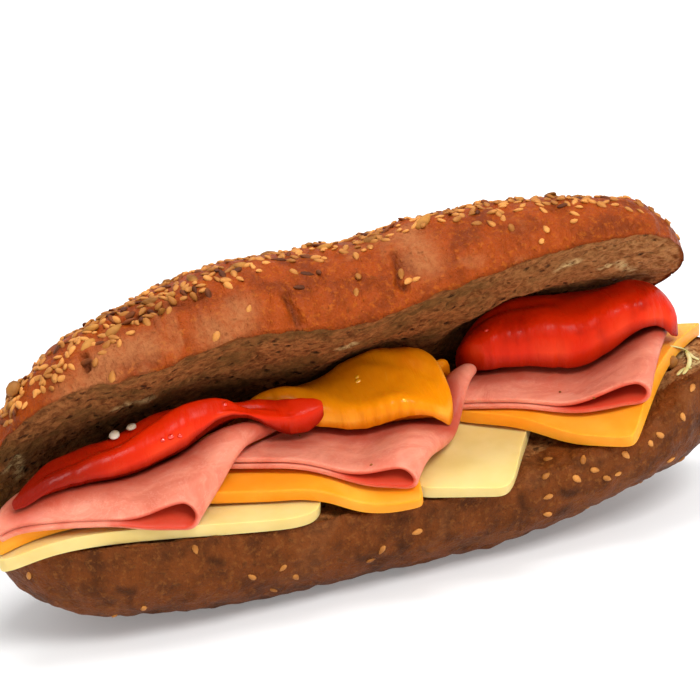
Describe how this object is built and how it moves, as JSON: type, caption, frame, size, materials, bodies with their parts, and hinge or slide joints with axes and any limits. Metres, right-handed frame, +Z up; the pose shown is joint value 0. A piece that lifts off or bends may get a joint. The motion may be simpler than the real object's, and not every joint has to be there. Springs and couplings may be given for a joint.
{
  "type": "ham and cheese baguette sandwich",
  "caption": "Long seeded brown roll, open along its front, filled with pale and orange cheese slices, folded pink ham and roasted red and yellow pepper.",
  "frame": {"origin": "middle of the flat underside that the roll rests on", "axes": "+X along the roll towards the picture's right end, +Y from the open front towards the back, +Z up"},
  "size_m": [0.243, 0.0847, 0.1068],
  "materials": {
    "top_crust": "orange-brown baked crust, partly glossy",
    "bottom_crust": "dark chestnut baked crust, satin",
    "pale_cheese": "pale yellow cheese, satin",
    "orange_cheese": "orange cheese, satin",
    "ham": "moist pink cooked ham",
    "red_pepper": "wet oily roasted red pepper",
    "yellow_pepper": "wet oily roasted yellow pepper"
  },
  "bodies": {
    "root": {"bottom_bun": "bottom_crust", "top_bun": "top_crust", "cheese_pale_left": "pale_cheese", "cheese_pale_middle": "pale_cheese", "cheese_orange_left": "orange_cheese", "cheese_orange_middle": "orange_cheese", "cheese_orange_right": "orange_cheese", "ham_left": "ham", "ham_middle": "ham", "ham_right": "ham", "pepper_red_left": "red_pepper", "pepper_red_right": "red_pepper", "pepper_yellow": "yellow_pepper", "pepper_yellow_back": "yellow_pepper"}
  },
  "joints": []
}
